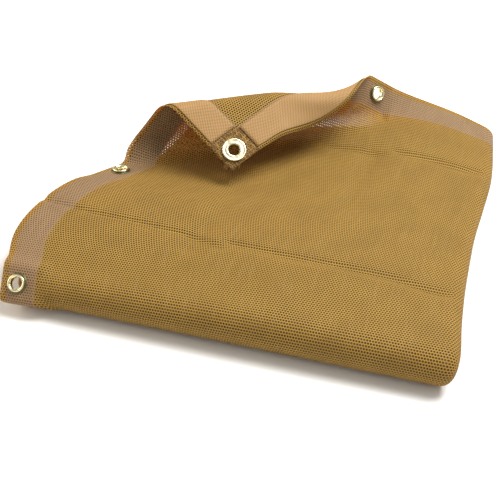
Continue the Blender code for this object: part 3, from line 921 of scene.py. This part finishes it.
@dataclass
class EyeletSet:
    """Pressed brass eyelets: flanged barrels clinched over washers, sizes in mm."""

    fold: Fold
    hole: float = 6.5
    barrel: float = 7.1
    flange: float = 13.6
    flange_thickness: float = 0.9
    washer_inner: float = 7.7
    washer_outer: float = 11.0
    washer_thickness: float = 0.8
    rim: float = 1.1
    # The flange is dished a little between two rings, and the bore's mouth and end are eased
    dish_depth: float = 0.12
    dish_inner: float = 3.2
    dish_outer: float = 2.2
    dish_wall: float = 0.8
    mouth_round: float = 1.4
    bore_end: float = 0.2
    washer_round: float = 0.75
    steps: int = 72
    # Edges sharper than this many degrees stay crisp
    crisp_angle: float = 50.0

    @staticmethod
    def arc(centre: tuple[float, float], radius: float, start: float, stop: float,
            steps: int) -> list[tuple[float, float]]:
        """Points of an arc in the profile's half plane, angles in degrees."""
        angles = [math.radians(start + (stop - start) * i / steps) for i in range(steps + 1)]
        return [(centre[0] + radius * math.cos(a), centre[1] + radius * math.sin(a)) for a in angles]

    def barrel_profile(self) -> list[tuple[float, float]]:
        """Section of the flanged barrel, with a shallow dish pressed in the flange."""
        rim_z = CLOTH_THICKNESS / 2 + METAL_GAP + self.washer_thickness + METAL_GAP + self.rim
        rim_r = self.barrel + self.rim
        top = -(CLOTH_THICKNESS / 2 + TAPE_GAP + TAPE_THICKNESS + METAL_GAP)
        low = top - self.flange_thickness
        half = self.flange_thickness / 2
        return (self.arc((rim_r, rim_z), self.rim, 150, -90, 12)
                + [(self.barrel, rim_z - self.rim), (self.barrel, top)]
                + self.arc((self.flange - half, top - half), half, 90, -90, 8)
                + [(self.flange - self.dish_outer + self.dish_wall, low),
                   (self.flange - self.dish_outer, low + self.dish_depth),
                   (self.hole + self.dish_inner, low + self.dish_depth),
                   (self.hole + self.dish_inner - self.dish_wall, low)]
                + self.arc((self.hole + self.mouth_round, low + self.mouth_round), self.mouth_round,
                           270, 180, 8)
                + [(self.hole, rim_z - self.bore_end)])

    def washer_profile(self) -> list[tuple[float, float]]:
        """Section of the washer, its outer edge rounded down."""
        low = CLOTH_THICKNESS / 2 + METAL_GAP
        top = low + self.washer_thickness
        edge = self.washer_thickness * self.washer_round
        return ([(self.washer_inner, top)]
                + self.arc((self.washer_outer - edge, top - edge), edge, 90, 0, 6)
                + [(self.washer_outer, low), (self.washer_inner, low)])

    def build(self, bright: Material, dull_and_shaded: Material) -> list[Object]:
        """Make the eyelets, their flanged barrels bright and their washers dull, darkened with painted shade.
        """
        made = []
        for eyelet in Eyelets:
            matrix = self.fold.eyelet_matrix(eyelet)
            for part, profile, finish, node in (("eyelet", self.barrel_profile(), bright, "grommet_"),
                                                ("clinch_washer", self.washer_profile(), dull_and_shaded, "washer_")):
                name = f"{part}_{eyelet.name}"
                mesh = ring_mesh(name, profile, self.steps, matrix)
                piece = new_piece(name, mesh, finish, [node + eyelet.name])
                mesh.set_sharp_from_angle(angle=math.radians(self.crisp_angle))
                made.append(piece)
        return made


@dataclass
class LooseThreads:
    """Frayed yarn ends at the turned-back corner's tip, sizes in mm."""

    fold: Fold
    radius: float = 0.36
    count: int = 7
    seed: int = 5
    # They start this far inside the edge, within this distance of the tip, and are this long
    inset: float = 0.4
    spread: tuple[float, float] = (0.5, 14.0)
    length: tuple[float, float] = (4.0, 8.5)
    stray: float = 1.0
    probe: float = 4.0

    def build(self, finish: Material) -> Object:
        """Make the yarn ends as short bent curves in one piece."""
        draw = np.random.default_rng(self.seed)
        curve = bpy.data.curves.new("frayed_yarn_ends", "CURVE")
        curve.dimensions = "3D"
        curve.bevel_depth = self.radius * MM
        curve.bevel_resolution = 2
        for i in range(self.count):
            on_left = i % 2 == 0
            place = draw.uniform(*self.spread)
            u, v = (self.inset, place) if on_left else (place, self.inset)
            start = self.fold.at(np.array(u), np.array(v), 0.0)[0]
            inward = self.fold.at(np.array(u + self.probe), np.array(v + self.probe), 0.0)[0]
            out = unit(start - inward) * draw.uniform(*self.length) * MM
            side = draw.normal(0, self.stray, 3) * MM
            points = [start - out * 0.5, start + out * 0.4, start + out * 0.8 + side * 0.6,
                      start + out + side]
            spline = curve.splines.new("NURBS")
            spline.points.add(len(points) - 1)
            for target, point in zip(spline.points, points):
                target.co = (*point, 1.0)
            spline.use_endpoint_u = True
        curve.materials.append(finish)
        piece = bpy.data.objects.new("frayed_yarn_ends", curve)
        bpy.context.scene.collection.objects.link(piece)
        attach(piece, "root")
        return piece


# A square soft light: its place and side in metres, its power in watts
Softbox = namedtuple("Softbox", "name place size power colour")
SOFTBOXES = (
    # Bright, from above and behind: it lights the top evenly and lets the raised corner glow
    Softbox("overhead_softbox", (0.7, 0.5, 1.7), 1.1, 57.0, "#ffffff"),
    # Low, weak and warm: it fills the front turn and the hollow under the corner
    Softbox("low_left_softbox", (-1.5, -0.2, 0.45), 1.1, 17.0, "#ffeacc"),
)


@dataclass
class Studio:
    """Plain pale floor, soft lights and the camera, in metres and degrees."""

    target: tuple[float, float, float] = (0.0052, -0.0836, 0.0306)
    azimuth: float = 16.0
    elevation: float = 40.0
    distance: float = 1.12
    lens: float = 75.6
    sensor: float = 36.0
    floor_size: float = 12.0
    # The floor lies a hair under the tarp, so that their faces don't flicker
    floor_drop: float = 0.5 * MM
    air_colour: str = "#ffffff"
    air_strength: float = 0.47

    def light(self, softbox: Softbox) -> None:
        """Hang a soft light, aimed at the tarp."""
        lamp = bpy.data.lights.new(softbox.name, "AREA")
        lamp.size = softbox.size
        lamp.energy = softbox.power
        lamp.color = to_linear(softbox.colour)[:3]
        made = bpy.data.objects.new(softbox.name, lamp)
        made.location = softbox.place
        aim = Vector(self.target) - Vector(softbox.place)
        made.rotation_euler = aim.to_track_quat("-Z", "Y").to_euler()
        bpy.context.scene.collection.objects.link(made)

    def floor(self) -> None:
        """The paper floor under the tarp."""
        half = self.floor_size / 2
        mesh = bpy.data.meshes.new("studio_floor")
        corners = [(-half, -half, 0), (half, -half, 0), (half, half, 0), (-half, half, 0)]
        mesh.from_pydata(corners, [], [(0, 1, 2, 3)])
        mesh.materials.append(StudioPaper().build())
        made = bpy.data.objects.new("studio_floor", mesh)
        made.location.z = -self.floor_drop
        bpy.context.scene.collection.objects.link(made)

    def camera(self) -> None:
        """The camera, aimed at the target from its azimuth and elevation."""
        azimuth, elevation = math.radians(self.azimuth), math.radians(self.elevation)
        ahead = Vector((-math.sin(azimuth) * math.cos(elevation), math.cos(azimuth) * math.cos(elevation),
                        -math.sin(elevation)))
        view = bpy.data.cameras.new("camera")
        view.lens = self.lens
        view.sensor_width = self.sensor
        made = bpy.data.objects.new("camera", view)
        made.location = Vector(self.target) - ahead * self.distance
        made.rotation_euler = ahead.to_track_quat("-Z", "Y").to_euler()
        bpy.context.scene.collection.objects.link(made)
        bpy.context.scene.camera = made

    def build(self) -> None:
        """Set up the studio."""
        self.floor()
        for softbox in SOFTBOXES:
            self.light(softbox)
        world = bpy.data.worlds.new("studio_air")
        world.use_nodes = True
        air = world.node_tree.nodes["Background"]
        air.inputs["Color"].default_value = to_linear(self.air_colour)
        air.inputs["Strength"].default_value = self.air_strength
        bpy.context.scene.world = world
        # Plain display colours: a filmic curve would grey the gold of the cloth
        bpy.context.scene.view_settings.view_transform = "Standard"
        self.camera()


def fold_in_place() -> Fold:
    """The fold, moved so that its corner eyelet lies where the solid one does."""
    fold = Fold()
    rings = EyeletSet(fold)
    probe = ring_mesh("probe", rings.barrel_profile(), rings.steps, fold.eyelet_matrix(Eyelets.corner))
    points = np.array([vert.co for vert in probe.vertices])
    bpy.data.meshes.remove(probe)
    low, high = (np.array(corner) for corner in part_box("grommet_corner"))
    fold.offset = (low + high) / 2 - (points.min(0) + points.max(0)) / 2
    return fold


def main() -> None:
    """Build every piece in order and report it."""
    logging.basicConfig(level=logging.INFO, format="%(message)s")
    fold = fold_in_place()
    LOG.info("fold offset %s", np.round(fold.offset / MM, 2).tolist())
    mesh_finish = KnittedMesh().build()
    cloth = TarpCloth(fold)
    sheet = cloth.build(mesh_finish)
    LOG.info("cloth: %d faces", len(sheet.data.polygons))
    for tape in HemTapes(fold).build(WovenTape().build(), cloth):
        LOG.info("%s: %d faces", tape.name, len(tape.data.polygons))
    for piece in EyeletSet(fold).build(PLATED_BRASS.build(), DULL_BRASS_WITH_PAINTED_SHADE.build()):
        LOG.info("%s: %d faces", piece.name, len(piece.data.polygons))
    LOG.info("%s", LooseThreads(fold).build(mesh_finish).name)
    Studio().build()


if __name__ == "__main__":
    main()
